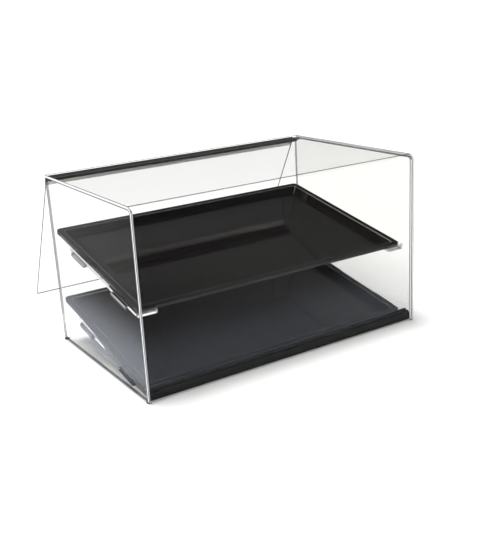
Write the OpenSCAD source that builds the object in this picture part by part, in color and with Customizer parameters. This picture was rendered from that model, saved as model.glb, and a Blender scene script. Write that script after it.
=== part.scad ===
// Countertop bread display bin: a clear acrylic case, open underneath, with two black trays
// that lean down to the front and a clear flap that hangs across the open back.
// X runs across the front, Y to the back, Z up. The origin is the centre of the case's footprint
// on the counter. Inside the modules Y is measured from the case's front face.

/* [Case] */
// Width over the two side panels
case_w = 545; // [360:1:800]
// Depth from the front face to the back edges of the side panels
case_d = 346; // [280:1:480]
// Height from the counter to the top face
case_h = 309; // [285:1:420]
// Thickness of the bent canopy and of the side panels
sheet_t = 5; // [4:0.5:8]
// Outer radius of the bend between the front and the top
bend_r = 12; // [9:0.5:30]
// Space left for the cement between two bonded sheets
bond_gap = 0.1; // [0.05:0.05:0.3]

/* [Feet] */
// Height of the clear domes under the four corners
foot_h = 3; // [1.5:0.1:6]
// Diameter of a dome
foot_d = 10; // [8:0.5:14]

/* [Front sill] */
// Depth of the black profile behind the foot of the front sheet
sill_d = 14; // [10:0.5:18]
// Height of the profile
sill_h = 18.5; // [12:0.5:24]
// Width of the groove along its top
sill_groove_w = 2.6; // [1.5:0.1:4]

/* [Trays] */
// Depth of a tray along its slope
tray_d = 325; // [240:1:330]
// Room between a tray's rim and each side panel
tray_side_gap = 2.5; // [1:0.5:6]
// Height of a tray from its underside to its rim
tray_h = 15; // [12:0.5:20]
// Thickness of the tray
tray_t = 3; // [2:0.5:4]
// Width of the flat rim
rim_w = 10; // [8:0.5:16]
// Height of the lip turned down round the rim
lip_h = 5.5; // [4:0.5:9]
// Level run of the sloping wall from the rim to the floor
wall_run = 17; // [12:0.5:30]
// Radius of the rim's corners
tray_r = 9; // [5:0.5:20]
// Radius of the basin's corners
basin_r = 6; // [3:0.5:16]
// Lean of the trays towards the front
tray_tilt = 11.4; // [5:0.1:15]
// Distance from the case's front face to a tray's front rim
tray_front_y = 27; // [26:0.5:60]
// Height of the lower tray's front rim
lower_rim_z = 16.5; // [14:0.5:30]
// Distance between the two trays
tray_pitch = 128.5; // [100:0.5:150]

/* [Rails] */
// Thickness of the ledges that carry the trays
rail_t = 5; // [3:0.5:6]
// Length of a ledge behind the tray's front rim
rail_len = 255; // [200:1:300]
// Width of the ledge's return under the front rim
return_w = 34; // [24:1:60]
// Thickness of the stop at the front of the ledge
stop_t = 5; // [3:0.5:8]
// Height of the stop above the ledge
stop_h = 5; // [3:0.5:8]
// Length of each tab that enters a side panel
tab_len = 52; // [30:1:70]
// Distance from the tray's front rim to the front tab
tab_front = 27; // [15:1:60]
// Distance between the two tabs of one ledge
tab_pitch = 156; // [90:1:180]
// Clearance all round a tab in its slot
tab_gap = 0.15; // [0.05:0.05:0.4]
// Clearance between a tray and what carries it
seat_gap = 0.1; // [0.05:0.05:0.3]

/* [Flap and hinge] */
// Width of the flap
flap_w = 536; // [340:1:780]
// Distance from the hinge axis to the flap's lower edge
flap_len = 287; // [200:1:300]
// Thickness of the flap
flap_t = 3; // [2:0.5:4]
// Radius of the flap's lower corners
flap_r = 3; // [1:0.5:8]
// Angle of the flap from hanging straight down, as it stands ajar
flap_ajar = 29; // [10:1:60]
// Angle from hanging straight down at which the hinge's mouth meets its neck
flap_open = 110; // [70:1:115]
// Radius of the bead that the flap turns on
bead_r = 3.2; // [2.4:0.1:4]
// Running clearance round the bead
bead_gap = 0.08; // [0.03:0.01:0.1]
// Wall of the socket round the bead
socket_t = 1.3; // [1:0.1:2]
// Distance from the back edge of the top to the hinge axis
hinge_out = 7; // [6.8:0.1:12]
// Thickness of the leaf under the top sheet
leaf_t = 1.8; // [1.4:0.1:3]
// Depth of that leaf
leaf_w = 18; // [18:0.5:60]
// Radius of the barrel along the leaf's back edge
barrel_r = 3.5; // [2.5:0.1:5]
// Distance from the back edge of the top to the middle of the barrel
barrel_in = 6; // [5:0.5:9]
// Thickness of the neck between the barrel and the bead
neck_t = 1.5; // [1:0.1:2]
// Depth of the recess for the tape along the front of the leaf
tape_w = 7; // [5:0.5:7]
// Width of the leaf left in front of that recess
tape_edge = 1; // [0.5:0.5:1]
// Thickness of the bonding tape
tape_t = 0.8; // [0.5:0.1:1]
// Height of the leaf and its tape behind the flap's upper edge
grip_w = 11; // [8:0.5:20]
// Thickness of the leaf behind the flap
grip_t = 1.5; // [1:0.1:2.5]

/* [Hidden] */
$fn = 48;

acrylic = [0.86, 0.9, 0.94, 0.35];
black_plastic = [0.09, 0.09, 0.1];
grey_tape = [0.72, 0.72, 0.7];
dark_tape = [0.3, 0.29, 0.28];
black_melamine = [0.05, 0.05, 0.05];

half_w = case_w / 2;
inner_half = half_w - sheet_t;
under_top = case_h - sheet_t;
inner_bend = bend_r - sheet_t;
tray_half = inner_half - tray_side_gap;
ledge_w = lip_h + seat_gap;
hinge_y = case_d + hinge_out;
tape_front = case_d - leaf_w + tape_edge;
leaf_top = under_top - bond_gap;
hinge_z = leaf_top - barrel_r;
centre_y = case_d / 2;
neck_half_angle = asin(neck_t / 2 / bead_r);
mouth_slack = 1;
socket_r = bead_r + bead_gap + socket_t;
flap_lift = 0.4;
flap_start = socket_r + flap_lift;
grip_front = flap_t / 2 + tape_t + 2 * bond_gap;
basin_clear = 0.7;
ledge_reach = rim_w - tray_t + wall_run * (ledge_w - tray_t) / (tray_h - tray_t) - basin_clear;

// Moves a piece from the case's own Y to the part's frame.
module from_front() {
    translate([0, -centre_y, 0]) children();
}

// Stands an outline drawn in (Y, Z) up and draws it out along X, centred.
module along_x(length) {
    translate([-length / 2, 0, 0]) rotate([90, 0, 90]) linear_extrude(length) children();
}

// Lays a piece drawn level, with its front rim at Y = 0 and Z = 0, onto a tray's slope.
module on_slope(rim_z) {
    translate([0, tray_front_y, rim_z]) rotate([tray_tilt, 0, 0]) children();
}

// A level rectangle centred in X that starts at Y = inset, with rounded corners.
module tray_outline(inset, r) {
    w = 2 * (tray_half - inset);
    d = tray_d - 2 * inset;
    translate([-w / 2 + r, inset + r]) offset(r) square([w - 2 * r, d - 2 * r]);
}

// ---- Case ----

module canopy_outline() {
    difference() {
        union() {
            translate([0, foot_h]) square([sheet_t, case_h - bend_r - foot_h]);
            translate([bend_r, under_top]) square([case_d - bend_r, sheet_t]);
            intersection() {
                translate([bend_r, case_h - bend_r]) circle(bend_r);
                translate([0, case_h - bend_r]) square(bend_r);
            }
        }
        translate([bend_r, case_h - bend_r]) circle(inner_bend);
    }
}

module canopy() {
    color(acrylic) from_front() along_x(case_w) canopy_outline();
}

module side_outline() {
    front = sheet_t + bond_gap;
    top = under_top - bond_gap;
    difference() {
        union() {
            translate([front, foot_h]) square([case_d - front, case_h - bend_r - foot_h]);
            translate([bend_r, foot_h]) square([case_d - bend_r, top - foot_h]);
            intersection() {
                translate([bend_r, case_h - bend_r]) circle(inner_bend - bond_gap);
                translate([0, case_h - bend_r]) square(bend_r);
            }
        }
        for (rim_z = [lower_rim_z, lower_rim_z + tray_pitch])
            translate([tray_front_y, rim_z]) rotate(tray_tilt)
                for (start = [tab_front, tab_front + tab_pitch])
                    translate([start - tab_gap, -ledge_w - rail_t - tab_gap])
                        square([tab_len + 2 * tab_gap, rail_t + 2 * tab_gap]);
    }
}

module side_panel(side) {
    color(acrylic) from_front()
        translate([side * (half_w - sheet_t / 2), 0, 0]) along_x(sheet_t) side_outline();
}

module side_panel_left() {
    side_panel(-1);
}

module side_panel_right() {
    side_panel(1);
}

// The sill's section: a low front ridge, a groove, a higher back ridge and a round heel.
module sill_outline() {
    ridge_r = (sill_d - sill_groove_w) / 4;
    heel_r = sill_h / 4;
    difference() {
        union() {
            square([sill_d, sill_h - ridge_r]);
            translate([ridge_r, sill_h - ridge_r - sill_groove_w / 2]) circle(ridge_r);
            translate([sill_d - ridge_r, sill_h - ridge_r]) circle(ridge_r);
            translate([2 * ridge_r + sill_groove_w, 0]) square([ridge_r, sill_h]);
        }
        translate([2 * ridge_r + sill_groove_w / 2, sill_h - ridge_r]) circle(sill_groove_w / 2);
        translate([2 * ridge_r, sill_h - ridge_r]) square([sill_groove_w, ridge_r + 1]);
        translate([-1, sill_h - ridge_r - sill_groove_w / 2]) square([ridge_r + 1, sill_h]);
        difference() {
            translate([sill_d - heel_r, -1]) square([heel_r + 1, heel_r + 1]);
            translate([sill_d - heel_r, heel_r]) circle(heel_r);
        }
    }
}

module front_sill() {
    color(black_plastic) from_front()
        translate([0, sheet_t + bond_gap, foot_h])
            along_x(2 * (inner_half - bond_gap)) sill_outline();
}

// A clear dome under a side panel's lower edge, with a flat to stand on.
module foot(side, y) {
    pad_h = foot_h - bond_gap;
    apex_h = pad_h * 1.25;
    ball_r = (apex_h * apex_h + foot_d * foot_d / 4) / (2 * apex_h);
    color(acrylic) from_front()
        translate([side * (half_w - sheet_t / 2), y, pad_h]) mirror([0, 0, 1])
            rotate_extrude() intersection() {
                translate([0, apex_h - ball_r]) circle(ball_r, $fn = 96);
                square([foot_d / 2, pad_h]);
            }
}

module foot_front_left() {
    foot(-1, sheet_t);
}

module foot_front_right() {
    foot(1, sheet_t);
}

module foot_rear_left() {
    foot(-1, case_d - foot_d / 2);
}

module foot_rear_right() {
    foot(1, case_d - foot_d / 2);
}

// ---- Trays and what carries them ----

// A ledge with a return under the front rim and two tabs, drawn level for the right side.
module rail_outline() {
    inner = inner_half - bond_gap;
    front = -stop_t - seat_gap;
    translate([tray_half - ledge_reach, front])
        square([inner - tray_half + ledge_reach, rail_len - front]);
    translate([inner - return_w, front]) square([return_w, ledge_reach - front]);
    for (start = [tab_front, tab_front + tab_pitch])
        translate([inner - 1, start]) square([sheet_t + 1, tab_len]);
}

module rail(side, rim_z) {
    color(acrylic) from_front() on_slope(rim_z)
        translate([0, 0, -ledge_w - rail_t])
            linear_extrude(rail_t) mirror([side < 0 ? 1 : 0, 0]) rail_outline();
}

module stop(side, rim_z) {
    x = side > 0 ? inner_half - bond_gap - return_w : -inner_half + bond_gap;
    color(acrylic) from_front() on_slope(rim_z)
        translate([x, -stop_t - seat_gap, -ledge_w]) cube([return_w, stop_t, stop_h]);
}

module upper_rail_left() {
    rail(-1, lower_rim_z + tray_pitch);
}

module upper_rail_right() {
    rail(1, lower_rim_z + tray_pitch);
}

module lower_rail_left() {
    rail(-1, lower_rim_z);
}

module lower_rail_right() {
    rail(1, lower_rim_z);
}

module upper_stop_left() {
    stop(-1, lower_rim_z + tray_pitch);
}

module upper_stop_right() {
    stop(1, lower_rim_z + tray_pitch);
}

module lower_stop_left() {
    stop(-1, lower_rim_z);
}

module lower_stop_right() {
    stop(1, lower_rim_z);
}

// A slice of the tray's basin at one depth, for the sloping walls to run between.
module basin_slice(inset, depth) {
    translate([0, 0, -depth]) linear_extrude(0.01) tray_outline(inset, basin_r);
}

// The rim with its lip and the basin with sloping walls, drawn level.
module tray_body() {
    difference() {
        union() {
            translate([0, 0, -lip_h]) linear_extrude(lip_h) difference() {
                tray_outline(0, tray_r);
                tray_outline(tray_t, tray_r - tray_t);
            }
            translate([0, 0, -tray_t]) linear_extrude(tray_t) tray_outline(0.5, tray_r - 0.5);
            hull() {
                basin_slice(rim_w - tray_t, tray_t);
                basin_slice(rim_w + wall_run - tray_t, tray_h);
            }
        }
        hull() {
            basin_slice(rim_w - 1, -1);
            basin_slice(rim_w, 0.01);
            basin_slice(rim_w + wall_run, tray_h - tray_t);
        }
    }
}

module tray(rim_z) {
    color(black_melamine) from_front() on_slope(rim_z) tray_body();
}

module upper_tray() {
    tray(lower_rim_z + tray_pitch);
}

module lower_tray() {
    tray(lower_rim_z);
}

// ---- Hinge and flap ----

// The leaf under the top sheet with a recess for its tape, the barrel along its back, and the
// neck out to the bead.
module hinge_top_outline() {
    difference() {
        translate([case_d - leaf_w, leaf_top - leaf_t]) square([leaf_w, leaf_t]);
        translate([tape_front, leaf_top - tape_t - bond_gap]) square([tape_w, leaf_t]);
    }
    translate([case_d - barrel_in, hinge_z]) circle(barrel_r);
    translate([case_d - barrel_in, hinge_z - neck_t / 2]) square([barrel_in + hinge_out, neck_t]);
    translate([hinge_y, hinge_z]) circle(bead_r);
}

module hinge_top_profile() {
    color(black_plastic) from_front()
        along_x(2 * (inner_half - bond_gap)) hinge_top_outline();
}

module hinge_top_tape() {
    color(dark_tape) from_front()
        translate([0, tape_front + bond_gap, leaf_top - tape_t])
            along_x(2 * (inner_half - bond_gap)) square([tape_w - 2 * bond_gap, tape_t]);
}

// Turns what is drawn hanging down from the axis to the angle of the flap.
module at_flap() {
    translate([0, hinge_y, hinge_z]) rotate([flap_ajar, 0, 0]) children();
}

// The socket round the bead and the leaf behind the flap, drawn hanging straight down.
module hinge_flap_outline() {
    mouth_half = neck_half_angle + mouth_slack;
    difference() {
        union() {
            circle(socket_r);
            translate([grip_front, -flap_start - grip_w]) square([grip_t, flap_start + grip_w]);
        }
        circle(bead_r + bead_gap);
        // The mouth that clears the neck from hanging straight down to fully open.
        polygon([
            [0, 0],
            for (i = [0:6])
                let (a = 270 - flap_open - mouth_half + i * (flap_open + 2 * mouth_half) / 6)
                    3 * socket_r * [sin(a), -cos(a)]
        ]);
    }
}

module hinge_flap_profile() {
    color(black_plastic) from_front() at_flap() along_x(flap_w) hinge_flap_outline();
}

module hinge_flap_tape() {
    color(grey_tape) from_front() at_flap()
        translate([0, flap_t / 2 + bond_gap, -flap_start - grip_w])
            along_x(flap_w) square([tape_t, grip_w - bond_gap]);
}

module rear_flap() {
    h = flap_len - flap_start - bond_gap;
    color(acrylic) from_front() at_flap()
        translate([0, flap_t / 2, -flap_len]) rotate([90, 0, 0]) linear_extrude(flap_t)
            translate([-flap_w / 2, 0]) union() {
                translate([flap_r, 0]) square([flap_w - 2 * flap_r, h]);
                translate([0, flap_r]) square([flap_w, h - flap_r]);
                for (x = [flap_r, flap_w - flap_r]) translate([x, flap_r]) circle(flap_r);
            }
}

canopy();
side_panel_left();
side_panel_right();
front_sill();
foot_front_left();
foot_front_right();
foot_rear_left();
foot_rear_right();
upper_rail_left();
upper_rail_right();
lower_rail_left();
lower_rail_right();
upper_stop_left();
upper_stop_right();
lower_stop_left();
lower_stop_right();
upper_tray();
lower_tray();
hinge_top_profile();
hinge_top_tape();
hinge_flap_profile();
hinge_flap_tape();
rear_flap();
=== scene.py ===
"""The looks of a countertop bread display bin: clear sheet, black trays and a black hinge.

A length in the classes is in millimetres unless it says metres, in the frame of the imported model:
X to the right along the front, Y to the back, Z up from the counter, with the origin under the
middle of the case. The bench turns it into Blender's metres.
"""

import logging  # noqa: E402
import math  # noqa: E402
from collections.abc import Callable, Iterator  # noqa: E402
from contextlib import contextmanager  # noqa: E402
from dataclasses import dataclass  # noqa: E402
from enum import Enum, IntEnum  # noqa: E402

import bpy  # noqa: E402
from mathutils import Matrix, Vector  # noqa: E402

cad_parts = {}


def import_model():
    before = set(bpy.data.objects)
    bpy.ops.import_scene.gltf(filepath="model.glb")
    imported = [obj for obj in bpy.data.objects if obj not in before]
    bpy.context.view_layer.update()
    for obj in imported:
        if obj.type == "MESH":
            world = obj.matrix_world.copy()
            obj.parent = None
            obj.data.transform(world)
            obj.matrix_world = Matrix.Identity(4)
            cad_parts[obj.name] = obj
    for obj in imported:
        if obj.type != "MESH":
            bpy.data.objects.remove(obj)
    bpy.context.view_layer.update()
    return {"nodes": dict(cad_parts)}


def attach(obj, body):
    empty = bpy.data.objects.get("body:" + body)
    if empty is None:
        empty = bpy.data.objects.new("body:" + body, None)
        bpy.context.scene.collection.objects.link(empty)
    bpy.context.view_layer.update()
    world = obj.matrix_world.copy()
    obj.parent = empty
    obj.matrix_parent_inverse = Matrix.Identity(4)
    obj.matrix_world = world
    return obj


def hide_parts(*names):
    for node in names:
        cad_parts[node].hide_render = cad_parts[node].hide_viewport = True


# Short names for Blender's types.
Tree = bpy.types.NodeTree
Socket = bpy.types.NodeSocket
Piece = bpy.types.Object

MM = 0.001
# How near a point has to lie to a height or a plane to count as on it, in millimetres.
NEAR = 0.01
# How far past a line an edge may lie and still count as inside it, in millimetres.
SLACK = 0.1
# How near two corners of a CAD mesh lie to be one, in millimetres.
LOOSE = 0.002
# The angle between CAD triangles that still belong to one flat face, in degrees.
FLAT = 1.0
# The steps of a rounded edge.
ROUNDING_STEPS = 2
# The range that most of a noise's values fall in.
NOISE_MIDDLE = (0.3, 0.7)
# The power of the slant by which a clear face mirrors more.
MIRROR_POWER = 5.0
# The length along X, Y and Z of the marks that a cloth leaves on clear sheet, in millimetres.
WIPES_MM = (35.0, 35.0, 12.0)
# The least angles between a cut sheet's faces that are eased and that stay sharp, in degrees.
SHEET_EASED = 60.0
SHEET_SHARP = 25.0
# The cosines to the direction through a sheet that tell a face and an edge.
FACE_COSINE = 0.95
EDGE_COSINE = 0.2
# The largest part along X of a normal that counts as square to X.
SQUARE_TO_X = 0.05
LOG = logging.getLogger("display_bin")


class Side(Enum):
    """A side of the case, with its sign on the X axis."""

    LEFT = -1
    RIGHT = 1


class Tier(Enum):
    """A tray's level, with the height of its front rim in millimetres."""

    UPPER = 145.0
    LOWER = 16.5


class Part(Enum):
    """What of a mesh is picked in edit mode."""

    VERTEX = "VERT"
    EDGE = "EDGE"


class Layer(IntEnum):
    """The place of a finish in a clear sheet's list of materials."""

    FACE = 0
    EDGE = 1
    ARRIS = 2
    SPECIAL = 3


class Slot(Enum):
    """The record's material slots."""

    ACRYLIC = "clear_acrylic"
    BUMPER = "clear_bumper"
    PVC = "black_pvc"
    MELAMINE = "black_melamine"
    LIGHT_TAPE = "grey_tape"
    DARK_TAPE = "dark_tape"


def linear(code: str) -> tuple[float, float, float, float]:
    """Turns an sRGB hex colour to linear.

    Args:
        code: The colour as "#RRGGBB".

    Returns:
        Linear red, green and blue, with an alpha of 1.
    """
    parts = (int(code[i : i + 2], 16) / 255 for i in (1, 3, 5))
    red, green, blue = (p / 12.92 if p <= 0.04045 else ((p + 0.055) / 1.055) ** 2.4 for p in parts)
    return red, green, blue, 1.0


def add_node(
    tree: Tree,
    kind: str,
    settings: dict[str, object] | None = None,
    inputs: dict[str | int, object] | None = None,
) -> bpy.types.Node:
    """Adds a node to a tree.

    Args:
        tree: The tree that gets the node.
        kind: The node's class name.
        settings: Attributes of the node.
        inputs: A value or a feeding output socket for each named or numbered input.

    Returns:
        The new node.
    """
    node = tree.nodes.new(kind)
    for name, value in (settings or {}).items():
        setattr(node, name, value)
    for name, value in (inputs or {}).items():
        if isinstance(value, Socket):
            tree.links.new(value, node.inputs[name])
        else:
            node.inputs[name].default_value = value
    return node


# ---- Finishes ----


@dataclass(frozen=True)
class Finish:
    """A surface finish that makes its Blender material once."""

    name: str = "finish"

    def material(self) -> bpy.types.Material:
        """Gives the finish's material, making it at the first call.

        Returns:
            The material.
        """
        made = bpy.data.materials.get(self.name)
        if made is None:
            made = bpy.data.materials.new(self.name)
            made.use_nodes = True
            made.node_tree.nodes.clear()
            shader = self.dress(made.node_tree)
            add_node(made.node_tree, "ShaderNodeOutputMaterial", None, {"Surface": shader})
        return made

    def dress(self, tree: Tree) -> Socket:
        """Fills the material's tree.

        Args:
            tree: The empty tree.

        Returns:
            The shader of the surface.
        """
        raise NotImplementedError

    def grain(self, tree: Tree, size_mm: tuple[float, float, float], detail: float = 2.0) -> Socket:
        """Adds a noise whose features have a real size.

        Args:
            tree: The tree that gets the nodes.
            size_mm: The feature's length along X, Y and Z.
            detail: The noise's detail.

        Returns:
            The noise's value.
        """
        place = add_node(tree, "ShaderNodeTexCoord").outputs["Object"]
        scale = Vector([1 / (s * MM) for s in size_mm])
        turned = add_node(tree, "ShaderNodeMapping", None, {"Vector": place, "Scale": scale})
        noise = add_node(
            tree,
            "ShaderNodeTexNoise",
            None,
            {"Vector": turned.outputs["Vector"], "Scale": 1.0, "Detail": detail},
        )
        return noise.outputs["Fac"]

    def spread(self, tree: Tree, value: Socket, low: float, high: float) -> Socket:
        """Maps a noise's middle range to a range of values.

        Args:
            tree: The tree that gets the node.
            value: The noise.
            low: The value where the noise is low.
            high: The value where the noise is high.

        Returns:
            The mapped value.
        """
        mapped = add_node(
            tree,
            "ShaderNodeMapRange",
            None,
            {
                "Value": value,
                "From Min": NOISE_MIDDLE[0],
                "From Max": NOISE_MIDDLE[1],
                "To Min": low,
                "To Max": high,
            },
        )
        return mapped.outputs["Result"]

    def relief(
        self,
        tree: Tree,
        noise: Socket,
        height_mm: float,
        strength: float = 1.0,
    ) -> Socket:
        """Turns a noise to a bump.

        Args:
            tree: The tree that gets the node.
            noise: The noise.
            height_mm: The bump's height.
            strength: The share of it that shows.

        Returns:
            The bumped normal.
        """
        bump = add_node(
            tree,
            "ShaderNodeBump",
            None,
            {"Height": noise, "Distance": height_mm * MM, "Strength": strength},
        )
        return bump.outputs["Normal"]

    def two_tone(self, tree: Tree, noise: Socket, dark: str, light: str) -> Socket:
        """Blends two colours by a noise.

        Args:
            tree: The tree that gets the node.
            noise: The noise.
            dark: The sRGB code where the noise is low.
            light: The sRGB code where the noise is high.

        Returns:
            The blended colour.
        """
        shades = add_node(
            tree,
            "ShaderNodeMix",
            {"data_type": "RGBA"},
            {"Factor": noise, "A": linear(dark), "B": linear(light)},
        )
        return shades.outputs["Result"]

    def principled(self, tree: Tree, inputs: dict[str | int, object]) -> Socket:
        """Adds a principled shader with the given inputs and returns its output."""
        return add_node(tree, "ShaderNodeBsdfPrincipled", None, inputs).outputs["BSDF"]

    def blend(
        self,
        tree: Tree,
        share: Socket,
        first: Socket,
        second: Socket,
    ) -> Socket:
        """Blends two shaders.

        Args:
            tree: The tree that gets the node.
            share: The second shader's share.
            first: The first shader.
            second: The second shader.

        Returns:
            The blended shader.
        """
        mixed = add_node(tree, "ShaderNodeMixShader", None, {0: share, 1: first, 2: second})
        return mixed.outputs["Shader"]

    def pass_lamps(self, tree: Tree, body: Socket, share: tuple[float, ...]) -> Socket:
        """Lets lamps shine through a clear body, which would leave a solid's black shadow.

        Args:
            tree: The tree that gets the nodes.
            body: The body's shader.
            share: The linear colour of what passes, with alpha.

        Returns:
            The shader that shadows softly.
        """
        lamp = add_node(tree, "ShaderNodeLightPath").outputs["Is Shadow Ray"]
        through = add_node(tree, "ShaderNodeBsdfTransparent", None, {"Color": share})
        return self.blend(tree, lamp, body, through.outputs["BSDF"])


@dataclass(frozen=True)
class ClearAcrylic(Finish):
    """Acrylic, cast between glass plates, or its flame-polished edge.

    The plates leave a mirror-flat face, so the eye sees clean reflections that only a long, faint
    waviness disturbs. An edge is sawn and then melted smooth: it ripples more and looks whiter.
    """

    name: str = "cast_acrylic_face"
    tint: str = "#FDFDFE"
    ior: float = 1.08
    clearness: float = 1.0
    haze_low: float = 0.0
    haze_high: float = 0.02
    ripple_mm: float = 90.0
    ripple_height_mm: float = 0.01

    def dress(self, tree: Tree) -> Socket:
        """Fills the material's tree.

        Args:
            tree: The empty tree.

        Returns:
            The shader of the surface.
        """
        wipes = self.grain(tree, WIPES_MM, 3.0)
        ripple = self.grain(tree, (self.ripple_mm,) * 3, 1.0)
        body = self.principled(
            tree,
            {
                "Base Color": linear(self.tint),
                "Roughness": self.spread(tree, wipes, self.haze_low, self.haze_high),
                "IOR": self.ior,
                "Transmission Weight": self.clearness,
                "Normal": self.relief(tree, ripple, self.ripple_height_mm),
            },
        )
        return self.pass_lamps(tree, body, (0.92, 0.925, 0.93, 1.0))


@dataclass(frozen=True)
class FlatAcrylic(Finish):
    """Acrylic, cast between glass plates and folded along a heated line.

    The sheet's faces are so flat and parallel that the view through it doesn't shift. It mirrors
    little where the eye meets it squarely and much more at a flat angle, as on the top. A pale
    diffuse film over its lower part is painted reflection of the white floor: it grows from 150 mm
    down to 50 mm over the counter and fades to a tenth between 27 and 20 mm.
    """

    name: str = "folded_cast_acrylic"
    tint: str = "#FAFAF9"
    square_on: float = 0.003
    grazing: float = 0.28
    haze: float = 0.03
    # Painted reflection of the white floor, drawn as a pale diffuse film, and the heights where it
    # lies.
    veil_tint: str = "#DEE4F0"
    reflection_veil: float = 0.025
    veil_from_mm: float = 150.0
    veil_full_mm: float = 50.0
    veil_cut_top_mm: float = 27.0
    veil_cut_bottom_mm: float = 20.0
    veil_cut_rest: float = 0.1
    ripple_mm: float = 90.0
    ripple_height_mm: float = 0.01

    def dress(self, tree: Tree) -> Socket:
        """Fills the material's tree.

        Args:
            tree: The empty tree.

        Returns:
            The shader of the surface.
        """
        wipes = self.grain(tree, WIPES_MM, 3.0)
        ripple = self.grain(tree, (self.ripple_mm,) * 3, 1.0)
        clear = add_node(tree, "ShaderNodeBsdfTransparent", None, {"Color": linear(self.tint)})
        gloss = add_node(
            tree,
            "ShaderNodeBsdfGlossy",
            None,
            {
                "Roughness": self.spread(tree, wipes, 0.0, self.haze),
                "Normal": self.relief(tree, ripple, self.ripple_height_mm),
            },
        )
        # Painted reflection: a pale diffuse film stands in for the white floor that the sheet
        # mirrors low down.
        veil_bsdf = add_node(
            tree,
            "ShaderNodeBsdfDiffuse",
            None,
            {"Color": linear(self.veil_tint), "Roughness": 0.5},
        )
        sheet = self.blend(
            tree, self.mirror_share(tree), clear.outputs["BSDF"], gloss.outputs["BSDF"]
        )
        return self.blend(tree, self.painted_reflection_share(tree), sheet, veil_bsdf.outputs["BSDF"])

    def mirror_share(self, tree: Tree) -> Socket:
        """Adds the share of light that the face mirrors, which grows towards a flat angle.

        Args:
            tree: The tree that gets the nodes.

        Returns:
            The share.
        """
        slant = add_node(tree, "ShaderNodeLayerWeight", None, {"Blend": 0.5})
        steep = add_node(
            tree,
            "ShaderNodeMath",
            {"operation": "POWER"},
            {0: slant.outputs["Facing"], 1: MIRROR_POWER},
        )
        share = add_node(
            tree,
            "ShaderNodeMath",
            {"operation": "MULTIPLY_ADD"},
            {0: steep.outputs["Value"], 1: self.grazing, 2: self.square_on},
        )
        return share.outputs["Value"]

    def painted_reflection_share(self, tree: Tree) -> Socket:
        """Adds the share of the painted floor reflection film, by the height over the counter.

        Args:
            tree: The tree that gets the nodes.

        Returns:
            The share.
        """
        place = add_node(tree, "ShaderNodeTexCoord").outputs["Object"]
        height = add_node(tree, "ShaderNodeSeparateXYZ", None, {"Vector": place}).outputs["Z"]
        veil_fade = (self.veil_from_mm, self.veil_full_mm, 0.0, self.reflection_veil)
        veil_cut = (self.veil_cut_bottom_mm, self.veil_cut_top_mm, self.veil_cut_rest, 1.0)
        film, rest = (
            add_node(
                tree,
                "ShaderNodeMapRange",
                {"interpolation_type": "SMOOTHSTEP"},
                {
                    "Value": height,
                    "From Min": start * MM,
                    "From Max": end * MM,
                    "To Min": low,
                    "To Max": high,
                },
            ).outputs["Result"]
            for start, end, low, high in (veil_fade, veil_cut)
        )
        cover = add_node(tree, "ShaderNodeMath", {"operation": "MULTIPLY"}, {0: film, 1: rest})
        return cover.outputs["Value"]


@dataclass(frozen=True)
class ScrapedArris(Finish):
    """The corner between an acrylic sheet's face and its edge, scraped to a narrow flat.

    The flat is painted a mottled grey: painted shade for the thin dark outline that refraction
    draws along each sheet's edges.
    """

    name: str = "scraped_acrylic_arris"
    light: str = "#6A6D76"
    dark: str = "#34363D"

    def dress(self, tree: Tree) -> Socket:
        """Fills the material's tree.

        Args:
            tree: The empty tree.

        Returns:
            The shader of the surface.
        """
        chatter = self.grain(tree, (9.0, 9.0, 9.0), 3.0)
        return self.principled(
            tree,
            {
                "Base Color": self.two_tone(tree, chatter, self.dark, self.light),
                "Roughness": self.spread(tree, chatter, 0.35, 0.55),
                "IOR": 1.49,
            },
        )


@dataclass(frozen=True)
class MouldedMelamine(Finish):
    """Melamine, pressed hot in a polished steel mould.

    The mould's polish gives a deep black gloss with a slight orange peel, and fine wiping marks
    soften it on the flat floor.
    """

    name: str = "moulded_melamine"
    pigment: str = "#0E0C0C"
    gloss: float = 0.03
    wear: float = 0.08

    def dress(self, tree: Tree) -> Socket:
        """Fills the material's tree.

        Args:
            tree: The empty tree.

        Returns:
            The shader of the surface.
        """
        marks = self.grain(tree, (60.0, 8.0, 8.0), 4.0)
        peel = self.grain(tree, (3.0, 3.0, 3.0), 1.0)
        return self.principled(
            tree,
            {
                "Base Color": linear(self.pigment),
                "Roughness": self.spread(tree, marks, self.gloss, self.wear),
                "IOR": 1.4,
                "Normal": self.relief(tree, peel, 0.006),
            },
        )


@dataclass(frozen=True)
class ExtrudedPvc(Finish):
    """Rigid PVC, drawn through a die along X.

    The die leaves a satin skin with faint straight lines along the profile.
    """

    name: str = "extruded_pvc"
    pigment: str = "#0C0B0C"

    def dress(self, tree: Tree) -> Socket:
        """Fills the material's tree.

        Args:
            tree: The empty tree.

        Returns:
            The shader of the surface.
        """
        # Real die lines are about 0.1 mm apart. They are drawn at 0.6 mm so that they show.
        lines = self.grain(tree, (400.0, 0.6, 0.6), 2.0)
        sheen = self.grain(tree, (120.0, 5.0, 5.0), 2.0)
        return self.principled(
            tree,
            {
                "Base Color": linear(self.pigment),
                "Roughness": self.spread(tree, sheen, 0.25, 0.35),
                "IOR": 1.3,
                "Normal": self.relief(tree, lines, 0.003, 0.5),
            },
        )


@dataclass(frozen=True)
class TransferTape(Finish):
    """Acrylic foam tape, coated on a roll.

    Its closed cells give a dull, slightly mottled white or grey.
    """

    name: str = "foam_tape"
    light: str = "#FBFAF7"
    dark: str = "#EDEBE7"

    def dress(self, tree: Tree) -> Socket:
        """Fills the material's tree.

        Args:
            tree: The empty tree.

        Returns:
            The shader of the surface.
        """
        cells = self.grain(tree, (0.8, 0.8, 0.8), 3.0)
        return self.principled(
            tree,
            {
                "Base Color": self.two_tone(tree, cells, self.dark, self.light),
                "Roughness": self.spread(tree, cells, 0.6, 0.75),
            },
        )


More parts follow.
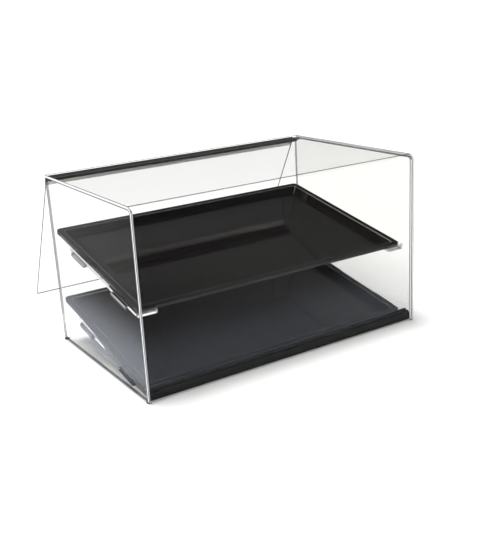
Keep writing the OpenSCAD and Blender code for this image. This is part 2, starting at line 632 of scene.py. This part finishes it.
@dataclass(frozen=True)
class ClearPolyurethane(Finish):
    """Polyurethane, poured as drops that set to soft domes.

    The poured skin is glossy, and the soft gel inside blurs what shows through. Its grey tint is
    painted shade, for the dark outline that refraction gives a clear dome.
    """

    name: str = "poured_polyurethane"
    # Painted shade: the grey tint darkens the domes in place of their refraction outline.
    tint: str = "#6A6E73"

    def dress(self, tree: Tree) -> Socket:
        """Fills the material's tree.

        Args:
            tree: The empty tree.

        Returns:
            The shader of the surface.
        """
        gel = self.grain(tree, (1.5, 1.5, 1.5), 2.0)
        body = self.principled(
            tree,
            {
                "Base Color": linear(self.tint),
                "Roughness": self.spread(tree, gel, 0.08, 0.16),
                "IOR": 1.5,
                "Transmission Weight": 1.0,
            },
        )
        return self.pass_lamps(tree, body, (0.85, 0.85, 0.85, 1.0))


@dataclass(frozen=True)
class PaintedFloor(Finish):
    """A studio floor, rolled with matt white paint, so that it shows no highlight."""

    name: str = "matt_floor_paint"
    light: str = "#FCFCFC"
    dark: str = "#F8F8F8"

    def dress(self, tree: Tree) -> Socket:
        """Fills the material's tree.

        Args:
            tree: The empty tree.

        Returns:
            The shader of the surface.
        """
        roller = self.grain(tree, (40.0, 40.0, 40.0), 2.0)
        return self.principled(
            tree,
            {
                "Base Color": self.two_tone(tree, roller, self.dark, self.light),
                "Roughness": 0.9,
                "Specular IOR Level": 0.2,
            },
        )


FACE = ClearAcrylic()
CANOPY_FACE = FlatAcrylic()
# Painted shade: a brown-grey tint along the bend stands in for the dark line that refraction in the
# curved sheet gives.
FOLD_SHADE = FlatAcrylic(name="heated_acrylic_fold", tint="#8D827C", grazing=0.1)
# The side panels carry a heavier film of painted floor reflection.
PANEL_FACE = FlatAcrylic(name="cast_acrylic_panel", grazing=0.2, reflection_veil=0.13)
EDGE = ClearAcrylic(
    name="flame_polished_acrylic_edge",
    tint="#FFFFFF",
    ior=1.2,
    clearness=0.08,
    haze_low=0.1,
    haze_high=0.25,
    ripple_mm=6.0,
    ripple_height_mm=0.02,
)
PANEL_EDGE = FlatAcrylic(
    name="diamond_polished_acrylic_edge", tint="#A3A4A8", square_on=0.02, grazing=0.2
)
# Painted shade: the flap's edges get a darker grey, for the dark line that its edges show.
FLAP_EDGE_SHADE = ScrapedArris(name="scraped_flap_edge", light="#4E5056", dark="#26282C")
# Painted shade: the grey arris of every clear sheet stands in for the dark outline from refraction.
ARRIS = ScrapedArris()
BUMPER = ClearPolyurethane()
PVC = ExtrudedPvc()
MELAMINE = MouldedMelamine()
# Painted highlight: a lighter grey on the rounding inside the rim stands in for the thin light line
# that the trays' inner arris mirrors.
HIGHLIGHT_MELAMINE = MouldedMelamine(
    name="worn_melamine_arris", pigment="#6A6866", gloss=0.15, wear=0.3
)
LIGHT_TAPE = TransferTape()
DARK_TAPE = TransferTape(name="dark_foam_tape", light="#4E4B49", dark="#3B3937")
FLOOR = PaintedFloor()


# ---- The bench ----


@dataclass
class Bench:
    """Works on one mesh at a time with Blender's own operators."""

    nodes: dict[str, Piece]

    def put_down(self) -> None:
        """Leaves edit mode and deselects everything."""
        if bpy.context.object is not None and bpy.context.object.mode != "OBJECT":
            bpy.ops.object.mode_set(mode="OBJECT")
        bpy.ops.object.select_all(action="DESELECT")

    def take(self, piece: Piece) -> None:
        """Selects one piece and makes it active.

        Args:
            piece: The piece.
        """
        self.put_down()
        piece.select_set(True)
        bpy.context.view_layer.objects.active = piece

    @contextmanager
    def editing(self, piece: Piece) -> Iterator[None]:
        """Opens a piece in edit mode for a with block.

        Args:
            piece: The piece.
        """
        self.take(piece)
        bpy.ops.object.mode_set(mode="EDIT")
        yield
        bpy.ops.object.mode_set(mode="OBJECT")

    @contextmanager
    def choosing(self, piece: Piece, mode: str) -> Iterator[None]:
        """Leaves edit mode for a with block that marks what is selected, with nothing marked yet.

        Args:
            piece: The piece, open in edit mode.
            mode: Blender's word for the kind of element.
        """
        bpy.ops.mesh.select_mode(type=mode)
        bpy.ops.object.mode_set(mode="OBJECT")
        for group in (piece.data.vertices, piece.data.edges, piece.data.polygons):
            for item in group:
                item.select = False
        yield
        bpy.ops.object.mode_set(mode="EDIT")

    def pick(self, piece: Piece, part: Part, test: Callable[[Vector], bool]) -> None:
        """Selects the vertices or edges that lie wholly where a test holds.

        Args:
            piece: The piece, open in edit mode.
            part: What is selected.
            test: Says of a point in millimetres whether it belongs.
        """
        with self.choosing(piece, part.value):
            inside = [test(v.co / MM) for v in piece.data.vertices]
            if part is Part.VERTEX:
                for vertex in piece.data.vertices:
                    vertex.select = inside[vertex.index]
            else:
                for edge in piece.data.edges:
                    edge.select = all(inside[i] for i in edge.vertices)

    def face_outward(self, piece: Piece, turned_in: bool) -> None:
        """Turns a shell's normals over when they point inward.

        Args:
            piece: The piece, open in edit mode.
            turned_in: Whether they point inward.
        """
        if turned_in:
            bpy.ops.mesh.select_all(action="SELECT")
            bpy.ops.mesh.flip_normals()

    def settle(self, piece: Piece) -> None:
        """Applies a piece's place, turn and size to its mesh.

        Args:
            piece: The piece.
        """
        self.take(piece)
        bpy.ops.object.transform_apply(location=True, rotation=True, scale=True)

    def plane(
        self,
        name: str,
        centre: tuple[float, float, float],
        size: tuple[float, float],
        turn: tuple[float, float, float] = (0.0, 0.0, 0.0),
    ) -> Piece:
        """Adds a plane at its size and place.

        Args:
            name: The piece's name.
            centre: The middle, in millimetres.
            size: Width and depth before the turn, in millimetres.
            turn: Rotation about X, Y and Z, in degrees.

        Returns:
            The new piece.
        """
        self.put_down()
        bpy.ops.mesh.primitive_plane_add(
            size=1.0,
            location=[c * MM for c in centre],
            rotation=[math.radians(a) for a in turn],
        )
        piece = bpy.context.object
        piece.name = name
        piece.data.name = name
        piece.scale = (size[0] * MM, size[1] * MM, 1.0)
        self.settle(piece)
        return piece

    def copy_node(self, node: str, name: str) -> Piece:
        """Makes an editable piece from a CAD node, with its loose triangles joined to clean faces.

        Args:
            node: The CAD node.
            name: The piece's name.

        Returns:
            The new piece.
        """
        self.put_down()
        piece = bpy.data.objects.new(name, self.nodes[node].data.copy())
        piece.data.name = name
        piece.data.materials.clear()
        bpy.context.scene.collection.objects.link(piece)
        with self.editing(piece):
            bpy.ops.mesh.select_all(action="SELECT")
            bpy.ops.mesh.remove_doubles(threshold=LOOSE * MM)
            bpy.ops.mesh.dissolve_limited(angle_limit=math.radians(FLAT))
            bpy.ops.mesh.normals_make_consistent(inside=False)
        return piece

    def solidify(self, piece: Piece, thickness: float) -> None:
        """Gives a shell its wall, on the side away from its normals.

        Args:
            piece: The piece.
            thickness: The wall, in millimetres.
        """
        self.take(piece)
        wall = piece.modifiers.new("wall", "SOLIDIFY")
        wall.thickness = thickness * MM
        wall.offset = -1.0
        wall.use_even_offset = True
        bpy.ops.object.modifier_apply(modifier=wall.name)

    def ease(self, piece: Piece, width: float, angle: float = 35.0) -> None:
        """Rounds a piece's sharp edges.

        Args:
            piece: The piece.
            width: How far the rounding reaches, in millimetres.
            angle: The least angle between faces that is rounded, in degrees.
        """
        self.take(piece)
        rounding = piece.modifiers.new("rounding", "BEVEL")
        rounding.width = width * MM
        rounding.segments = ROUNDING_STEPS
        rounding.limit_method = "ANGLE"
        rounding.angle_limit = math.radians(angle)
        rounding.use_clamp_overlap = True
        bpy.ops.object.modifier_apply(modifier=rounding.name)

    def smooth(self, piece: Piece, angle: float = 30.0) -> None:
        """Shades a piece smooth except over sharp edges, and keeps its large faces flat.

        Args:
            piece: The piece.
            angle: The least angle that stays sharp, in degrees.
        """
        self.take(piece)
        bpy.ops.object.shade_smooth_by_angle(angle=math.radians(angle))
        flat = piece.modifiers.new("flat_faces", "WEIGHTED_NORMAL")
        flat.mode = "FACE_AREA"
        flat.weight = 100
        flat.keep_sharp = True
        bpy.ops.object.modifier_apply(modifier=flat.name)

    def ease_sheet(self, piece: Piece, arris: float) -> None:
        """Scrapes a cut sheet's corners and shades the rest flat.

        Args:
            piece: The sheet.
            arris: The width of the scraped flat, in millimetres.
        """
        self.ease(piece, arris, SHEET_EASED)
        self.smooth(piece, SHEET_SHARP)

    def paint(self, piece: Piece, *finishes: Finish) -> None:
        """Gives a piece its finishes, the first one everywhere."""
        piece.data.materials.clear()
        for finish in finishes:
            piece.data.materials.append(finish.material())

    def paint_sheet(
        self,
        piece: Piece,
        face: Finish,
        across: Callable[[Vector], Vector],
        edge: Finish = EDGE,
    ) -> None:
        """Gives a clear sheet its face, edge and arris finishes.

        Args:
            piece: The sheet.
            face: The finish of its two faces.
            across: Gives the direction through the sheet at a point in millimetres.
            edge: The finish of its edges.
        """
        self.paint(piece, face, edge, ARRIS)
        for polygon in piece.data.polygons:
            facing = abs(polygon.normal.dot(across(polygon.center / MM)))
            if facing > FACE_COSINE:
                polygon.material_index = Layer.FACE
            elif facing < EDGE_COSINE:
                polygon.material_index = Layer.EDGE
            else:
                # The arris faces take the painted shade of the outline.
                polygon.material_index = Layer.ARRIS

    def hand_over(self, piece: Piece, body: str, slot: Slot, *nodes: str) -> None:
        """Lets a finished piece ride on its body in place of its CAD nodes, and reports it.

        Args:
            piece: The piece.
            body: The CAD body.
            slot: The record's material slot; not used.
            nodes: The CAD nodes that the piece stands for.
        """
        self.put_down()
        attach(piece, body)
        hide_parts(*nodes)
        LOG.info("%s rides on %s with %d faces", piece.name, body, len(piece.data.polygons))


# ---- The case ----


@dataclass
class AcrylicCase:
    """The bent canopy and the two side panels."""

    bench: Bench
    width: float = 545.0
    front: float = -173.0
    back: float = 173.0
    foot: float = 3.0
    top: float = 309.0
    sheet: float = 5.0
    bend: float = 12.0
    arris: float = 0.8
    bend_steps: int = 20
    fold_line: tuple[float, float] = (73.0, 88.0)

    def build(self) -> None:
        """Builds the canopy and the side panels."""
        self.canopy()
        for side in Side:
            self.side_panel(side)

    def canopy(self) -> None:
        """Bends one sheet from the front's foot over to the back of the top."""
        height = self.top - self.bend - self.foot
        sheet = self.bench.plane(
            "bent_canopy",
            (0.0, self.front, self.foot + height / 2),
            (self.width, height),
            (90.0, 0.0, 0.0),
        )
        bend_y = self.front + self.bend
        bend_z = self.top - self.bend
        with self.bench.editing(sheet):
            self.bench.pick(sheet, Part.EDGE, lambda p: p.z > bend_z - NEAR)
            bpy.ops.mesh.spin(
                steps=self.bend_steps,
                angle=math.pi / 2,
                center=(0.0, bend_y * MM, bend_z * MM),
                axis=(1.0, 0.0, 0.0),
            )
            self.bench.pick(sheet, Part.EDGE, lambda p: p.z > self.top - NEAR)
            bpy.ops.mesh.extrude_region_move(
                TRANSFORM_OT_translate={"value": (0.0, (self.back - bend_y) * MM, 0.0)}
            )
            bpy.ops.mesh.select_all(action="SELECT")
            bpy.ops.mesh.remove_doubles(threshold=NEAR * MM)
            bpy.ops.mesh.normals_make_consistent(inside=False)
        front_face = min(sheet.data.polygons, key=lambda f: f.center.y)
        turned_in = front_face.normal.y > 0
        with self.bench.editing(sheet):
            self.bench.face_outward(sheet, turned_in)
        self.bench.solidify(sheet, self.sheet)
        self.bench.ease_sheet(sheet, self.arris)
        self.bench.paint_sheet(sheet, CANOPY_FACE, self.through_canopy)
        self.shade_fold(sheet)
        self.bench.hand_over(sheet, "case", Slot.ACRYLIC, "canopy")

    def shade_fold(self, sheet: Piece) -> None:
        """Paints shade on the line where the sheet bends, which refraction darkens, and clears the
        edge over the hinge.

        Args:
            sheet: The canopy, already painted.
        """
        sheet.data.materials.append(FOLD_SHADE.material())
        low, high = (math.sin(math.radians(a)) for a in self.fold_line)
        for polygon in sheet.data.polygons:
            if low < polygon.normal.z < high and abs(polygon.normal.x) < SQUARE_TO_X:
                polygon.material_index = Layer.SPECIAL
            if polygon.normal.y > FACE_COSINE and polygon.center.y > 0.0:
                polygon.material_index = Layer.FACE

    def through_canopy(self, point: Vector) -> Vector:
        """Gives the direction through the canopy: level in front, upright on top, radial between.

        Args:
            point: A point of the canopy.

        Returns:
            The direction, of length 1.
        """
        y = min(0.0, point.y - self.front - self.bend)
        z = max(0.0, point.z - self.top + self.bend)
        return Vector((0.0, y, z)).normalized()

    def side_panel(self, side: Side) -> None:
        """Cuts one side panel, with its slots for the ledges' tabs and its whiter front edge.

        Args:
            side: The side.
        """
        word = side.name.lower()
        panel = self.bench.copy_node("side_panel_" + word, "side_sheet_" + word)
        self.bench.ease_sheet(panel, self.arris)
        self.bench.paint_sheet(panel, PANEL_FACE, lambda p: Vector((1.0, 0.0, 0.0)), PANEL_EDGE)
        panel.data.materials.append(EDGE.material())
        for polygon in panel.data.polygons:
            if polygon.normal.y < -FACE_COSINE:
                polygon.material_index = Layer.SPECIAL
        self.bench.hand_over(panel, "case", Slot.ACRYLIC, "side_panel_" + word)


@dataclass
class Feet:
    """The clear domes under the corners."""

    bench: Bench

    def build(self) -> None:
        """Pours the four domes."""
        for end in ("front", "rear"):
            for side in Side:
                corner = f"{end}_{side.name.lower()}"
                node = "foot_" + corner
                dome = self.bench.copy_node(node, "bumper_" + corner)
                self.bench.ease(dome, width=0.15)
                self.bench.smooth(dome, angle=40.0)
                self.bench.paint(dome, BUMPER)
                self.bench.hand_over(dome, "case", Slot.BUMPER, node)


@dataclass
class FrontSill:
    """The black profile behind the foot of the front sheet."""

    bench: Bench

    def build(self) -> None:
        """Draws the profile and eases its ends."""
        sill = self.bench.copy_node("front_sill", "sill_profile")
        self.bench.ease(sill, width=0.3)
        self.bench.smooth(sill, angle=32.0)
        self.bench.paint(sill, PVC)
        self.bench.hand_over(sill, "case", Slot.PVC, "front_sill")


# ---- Trays and ledges ----


@dataclass
class Ledges:
    """The clear ledges and stops that carry the trays."""

    bench: Bench
    arris: float = 0.6
    tilt: float = 11.4

    def build(self) -> None:
        """Cuts and places the four ledges and their stops."""
        for tier in Tier:
            for side in Side:
                self.ledge(tier, side)

    def ledge(self, tier: Tier, side: Side) -> None:
        """Cuts one ledge and the stop at its front.

        Args:
            tier: The tray's level.
            side: The side of the case.
        """
        slope = math.radians(self.tilt)
        upright = Vector((0.0, -math.sin(slope), math.cos(slope)))
        along = Vector((0.0, math.cos(slope), math.sin(slope)))
        for word, kind, across in (("rail", "ledge", upright), ("stop", "ledge_stop", along)):
            node = f"{tier.name.lower()}_{word}_{side.name.lower()}"
            plate = self.bench.copy_node(node, node.replace(word, kind))
            self.bench.ease_sheet(plate, self.arris)
            self.bench.paint_sheet(plate, FACE, lambda p, way=across: way, FACE)
            self.bench.hand_over(plate, "case", Slot.ACRYLIC, node)


@dataclass
class ServingTray:
    """A black tray with a flat rim, a lip turned down round it and a shallow well.

    A painted highlight, a lighter grey, lies on the rounding round the well: it reaches a little
    over the rim and down, where the surface leans by the given cosines to the tray's upright.
    """

    bench: Bench
    tier: Tier
    width: float = 530.0
    depth: float = 325.0
    lip: float = 5.5
    rim: float = 10.0
    wall_run: float = 17.0
    well: float = 12.0
    wall: float = 3.0
    corner: float = 9.0
    well_corner: float = 6.0
    corner_steps: int = 10
    rim_rounding: float = 1.6
    rim_steps: int = 3
    floor_rounding: float = 5.0
    floor_steps: int = 5
    arris: float = 0.6
    # Where the painted highlight lies on the rounding round the well.
    highlight_reach: float = 1.0
    highlight_depth: float = 1.5
    highlight_cosines: tuple[float, float] = (0.6, 0.98)
    tilt: float = 11.4
    front: float = -146.0

    def build(self) -> None:
        """Presses the tray level at the origin, then lays it on its ledges."""
        word = self.tier.name.lower()
        tray = self.bench.plane(
            f"{word}_serving_tray", (0.0, self.depth / 2, 0.0), (self.width, self.depth)
        )
        with self.bench.editing(tray):
            self.outline(tray)
            self.sink_well(tray)
            self.round_arrises(tray)
            self.turn_lip(tray)
        self.bench.solidify(tray, self.wall)
        self.bench.ease(tray, self.arris, angle=50.0)
        self.bench.smooth(tray, angle=35.0)
        tray.rotation_euler = (math.radians(self.tilt), 0.0, 0.0)
        tray.location = (0.0, self.front * MM, self.tier.value * MM)
        self.bench.settle(tray)
        self.bench.paint(tray, MELAMINE, HIGHLIGHT_MELAMINE)
        self.paint_arris_highlight(tray)
        self.bench.hand_over(tray, f"{word}_tray_body", Slot.MELAMINE, f"{word}_tray")

    def paint_arris_highlight(self, tray: Piece) -> None:
        """Paints a lighter grey highlight on the rounding round the well.

        Args:
            tray: The finished tray, laid on its ledges.
        """
        slope = math.radians(self.tilt)
        up = Vector((0.0, -math.sin(slope), math.cos(slope)))
        along = Vector((0.0, math.cos(slope), math.sin(slope)))
        corner = Vector((0.0, self.front, self.tier.value))
        highlight_slot = tray.data.materials.find(HIGHLIGHT_MELAMINE.name)
        low, high = self.highlight_cosines
        reach = self.highlight_reach - self.rim
        for polygon in tray.data.polygons:
            place = polygon.center / MM - corner
            inside = (
                abs(place.x) < self.width / 2 + reach
                and abs(place.dot(along) - self.depth / 2) < self.depth / 2 + reach
                and abs(place.dot(up)) < self.highlight_depth
            )
            if inside and low < polygon.normal.dot(up) < high:
                polygon.material_index = highlight_slot

    def outline(self, tray: Piece) -> None:
        """Rounds the corners of the blank.

        Args:
            tray: The blank, open in edit mode.
        """
        self.bench.pick(tray, Part.VERTEX, lambda p: True)
        bpy.ops.mesh.bevel(offset=self.corner * MM, segments=self.corner_steps, affect="VERTICES")

    def draw_in(self, tray: Piece, step: float, drop: float) -> None:
        """Extrudes the middle face and draws its corners in by a step, which keeps their radius.

        Args:
            tray: The blank, open in edit mode with its middle face selected.
            step: How far each side moves in, in millimetres.
            drop: How far the face goes down, in millimetres.
        """
        bpy.ops.mesh.extrude_region_move(TRANSFORM_OT_translate={"value": (0.0, 0.0, -drop * MM)})
        bpy.ops.object.mode_set(mode="OBJECT")
        face = max(tray.data.polygons, key=lambda f: f.select * (1 + f.area))
        ring = {v: tray.data.vertices[v].co.copy() for v in face.vertices}
        bpy.ops.object.mode_set(mode="EDIT")
        mid = self.depth / 2
        for sx in (-1, 1):
            for sy in (-1, 1):
                with self.bench.choosing(tray, "VERT"):
                    for index, place in ring.items():
                        near = place.x * sx > 0 and (place.y / MM - mid) * sy > 0
                        tray.data.vertices[index].select = near
                bpy.ops.transform.translate(value=(-sx * step * MM, -sy * step * MM, 0.0))
        self.select_middle(tray)

    def select_middle(self, tray: Piece) -> None:
        """Selects the large middle face.

        Args:
            tray: The blank, open in edit mode.
        """
        with self.bench.choosing(tray, "FACE"):
            max(tray.data.polygons, key=lambda f: f.area).select = True

    def sink_well(self, tray: Piece) -> None:
        """Insets the flat rim and sinks the well with its sloping wall.

        Args:
            tray: The blank, open in edit mode.
        """
        self.select_middle(tray)
        bpy.ops.mesh.inset(thickness=(self.corner - self.well_corner) * MM, depth=0.0)
        self.select_middle(tray)
        self.draw_in(tray, self.rim - self.corner + self.well_corner, 0.0)
        self.draw_in(tray, self.wall_run, self.well)

    def round_arrises(self, tray: Piece) -> None:
        """Rounds the well's edges, inside the rim and round the floor.

        Args:
            tray: The tray, open in edit mode.
        """
        inner_x = self.width / 2 - self.rim + SLACK
        inner_y = self.depth / 2 - self.rim + SLACK
        self.bench.pick(
            tray,
            Part.EDGE,
            lambda p: p.z > -NEAR
            and abs(p.x) < inner_x
            and abs(p.y - self.depth / 2) < inner_y,
        )
        bpy.ops.mesh.bevel(offset=self.rim_rounding * MM, segments=self.rim_steps, affect="EDGES")
        self.bench.pick(tray, Part.EDGE, lambda p: p.z < -self.well + NEAR)
        bpy.ops.mesh.bevel(
            offset=self.floor_rounding * MM, segments=self.floor_steps, affect="EDGES"
        )

    def turn_lip(self, tray: Piece) -> None:
        """Turns the lip down round the rim.

        Args:
            tray: The tray, open in edit mode.
        """
        bpy.ops.mesh.select_mode(type="EDGE")
        bpy.ops.mesh.select_all(action="DESELECT")
        bpy.ops.mesh.select_non_manifold(use_wire=False, use_boundary=True, use_multi_face=False)
        bpy.ops.mesh.extrude_region_move(
            TRANSFORM_OT_translate={"value": (0.0, 0.0, -self.lip * MM)}
        )
        bpy.ops.mesh.select_all(action="SELECT")
        bpy.ops.mesh.remove_doubles(threshold=NEAR * MM)
        bpy.ops.mesh.normals_make_consistent(inside=False)
        bpy.ops.object.mode_set(mode="OBJECT")
        floor = max(tray.data.polygons, key=lambda f: f.area)
        upside_down = floor.normal.z < 0
        bpy.ops.object.mode_set(mode="EDIT")
        self.bench.face_outward(tray, upside_down)


# ---- Hinge and flap ----


@dataclass
class RearHinge:
    """The two black profiles across the back and the tape that bonds each to its sheet."""

    bench: Bench

    def build(self) -> None:
        """Draws both profiles and lays both tapes."""
        self.profile("top", "case", "hinge_profile_case", 0.25)
        self.profile("flap", "flap", "hinge_profile_flap", 0.2)
        self.tape("top", "case", DARK_TAPE, Slot.DARK_TAPE)
        self.tape("flap", "flap", LIGHT_TAPE, Slot.LIGHT_TAPE)

    def profile(self, word: str, body: str, name: str, rounding: float) -> None:
        """Draws one profile.

        Args:
            word: The profile's word in the node's name.
            body: The body that it rides on.
            name: The piece's name.
            rounding: How far its edges are rounded, in millimetres.
        """
        drawn = self.bench.copy_node(f"hinge_{word}_profile", name)
        self.bench.ease(drawn, rounding)
        self.bench.smooth(drawn, angle=32.0)
        self.bench.paint(drawn, PVC)
        self.bench.hand_over(drawn, body, Slot.PVC, f"hinge_{word}_profile")

    def tape(self, word: str, body: str, finish: Finish, slot: Slot) -> None:
        """Lays the tape between a profile and its sheet.

        Args:
            word: The profile's word in the node's name.
            body: The body that it rides on.
            finish: The tape's finish.
            slot: The record's material slot.
        """
        strip = self.bench.copy_node(f"hinge_{word}_tape", f"foam_tape_{word}")
        self.bench.ease(strip, width=0.1)
        self.bench.smooth(strip)
        self.bench.paint(strip, finish)
        self.bench.hand_over(strip, body, slot, f"hinge_{word}_tape")


@dataclass
class RearFlap:
    """The clear flap that hangs from the hinge."""

    bench: Bench
    ajar: float = 29.0
    arris: float = 0.6

    def build(self) -> None:
        """Cuts the flap and dresses its edges."""
        flap = self.bench.copy_node("rear_flap", "flap_sheet")
        lean = math.radians(self.ajar)
        outward = Vector((0.0, math.cos(lean), math.sin(lean)))
        self.bench.ease_sheet(flap, self.arris)
        # The flap's edges carry painted shade, a darker grey.
        self.bench.paint_sheet(flap, FACE, lambda p: outward, FLAP_EDGE_SHADE)
        self.bench.hand_over(flap, "flap", Slot.ACRYLIC, "rear_flap")


# ---- The studio ----


@dataclass(frozen=True)
class SoftLamp:
    """A far, soft lamp.

    Attributes:
        name: Its name.
        power: Its strength in watts per square metre.
        spread: The angle that it fills, in degrees.
        turn: How it is turned from pointing straight down, in degrees.
    """

    name: str
    power: float
    spread: float
    turn: tuple[float, float, float]

    def hang(self) -> None:
        """Adds the lamp to the scene."""
        lamp = bpy.data.lights.new(self.name, "SUN")
        lamp.energy = self.power
        lamp.angle = math.radians(self.spread)
        holder = bpy.data.objects.new(self.name, lamp)
        bpy.context.scene.collection.objects.link(holder)
        holder.rotation_euler = [math.radians(a) for a in self.turn]


@dataclass
class Studio:
    """A room that is white low down and dark above, two lamps, and the photograph's view.

    Attributes:
        bench: The bench.
        camera_at: The camera's place.
        heading: The camera's turn about Z, in degrees.
        dip: How far it looks down, in degrees.
        roll: Its turn about its own axis, in degrees.
        lens: Its focal length in millimetres.
        sensor: The width of its sensor in millimetres.
        sight: How far it sees, in metres.
        floor_size: The side of the floor in metres.
        room: The room's brightness at heights over the horizon, in degrees.
        lamps: The lamps.
    """

    bench: Bench
    camera_at: tuple[float, float, float] = (-759.9, -1247.0, 578.5)
    heading: float = -31.73
    dip: float = 17.63
    roll: float = -3.31
    lens: float = 56.3
    sensor: float = 36.0
    sight: float = 100.0
    floor_size: float = 60.0
    room: tuple[tuple[float, float], ...] = (
        (0.0, 1.0),
        (1.5, 1.0),
        (6.0, 0.1),
        (29.0, 0.1),
        (36.0, 0.22),
        (42.0, 0.1),
        (47.0, 0.02),
    )
    lamps: tuple[SoftLamp, ...] = (
        SoftLamp("overhead_softbox", 3.4, 30.0, (-12.0, -8.0, 0.0)),
        SoftLamp("front_softbox", 1.3, 40.0, (63.0, 0.0, -38.0)),
    )

    def build(self) -> None:
        """Sets up the floor, the light and the camera."""
        scene = bpy.context.scene
        scene.view_settings.view_transform = "Standard"
        self.bench.put_down()
        bpy.ops.mesh.primitive_plane_add(size=self.floor_size, location=(0.0, 0.0, 0.0))
        floor = bpy.context.object
        floor.name = "studio_floor"
        floor.data.materials.append(FLOOR.material())
        self.light()
        self.aim()

    def light(self) -> None:
        """Gives the room its brightness and hangs the lamps."""
        world = bpy.data.worlds.new("white_room")
        bpy.context.scene.world = world
        world.use_nodes = True
        tree = world.node_tree
        tree.nodes.clear()
        place = add_node(tree, "ShaderNodeTexCoord").outputs["Generated"]
        height = add_node(tree, "ShaderNodeSeparateXYZ", None, {"Vector": place}).outputs["Z"]
        bands = add_node(tree, "ShaderNodeValToRGB", None, {"Fac": height})
        ramp = bands.color_ramp
        ramp.interpolation = "EASE"
        while len(ramp.elements) < len(self.room):
            ramp.elements.new(0.5)
        for stop, (angle, value) in zip(ramp.elements, self.room):
            stop.position = math.sin(math.radians(angle))
            stop.color = (value, value, value, 1.0)
        sky = add_node(
            tree,
            "ShaderNodeBackground",
            None,
            {"Color": bands.outputs["Color"], "Strength": 1.0},
        )
        add_node(tree, "ShaderNodeOutputWorld", None, {"Surface": sky.outputs["Background"]})
        for lamp in self.lamps:
            lamp.hang()

    def aim(self) -> None:
        """Places the camera at the photograph's viewpoint."""
        camera = bpy.data.cameras.new("photo_view")
        camera.lens = self.lens
        camera.sensor_width = self.sensor
        camera.clip_end = self.sight
        holder = bpy.data.objects.new("photo_view", camera)
        bpy.context.scene.collection.objects.link(holder)
        turn = (
            Matrix.Rotation(math.radians(self.heading), 4, "Z")
            @ Matrix.Rotation(math.radians(90.0 - self.dip), 4, "X")
            @ Matrix.Rotation(math.radians(self.roll), 4, "Z")
        )
        holder.matrix_world = Matrix.Translation([c * MM for c in self.camera_at]) @ turn
        bpy.context.scene.camera = holder


def main() -> None:
    """Builds the display bin piece by piece."""
    logging.basicConfig(level=logging.INFO, format="%(name)s: %(message)s")
    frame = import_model()
    bench = Bench(frame["nodes"])
    AcrylicCase(bench).build()
    Feet(bench).build()
    FrontSill(bench).build()
    Ledges(bench).build()
    for tier in Tier:
        ServingTray(bench, tier).build()
    RearHinge(bench).build()
    RearFlap(bench).build()
    Studio(bench).build()
    bench.put_down()


if __name__ == "__main__":
    main()
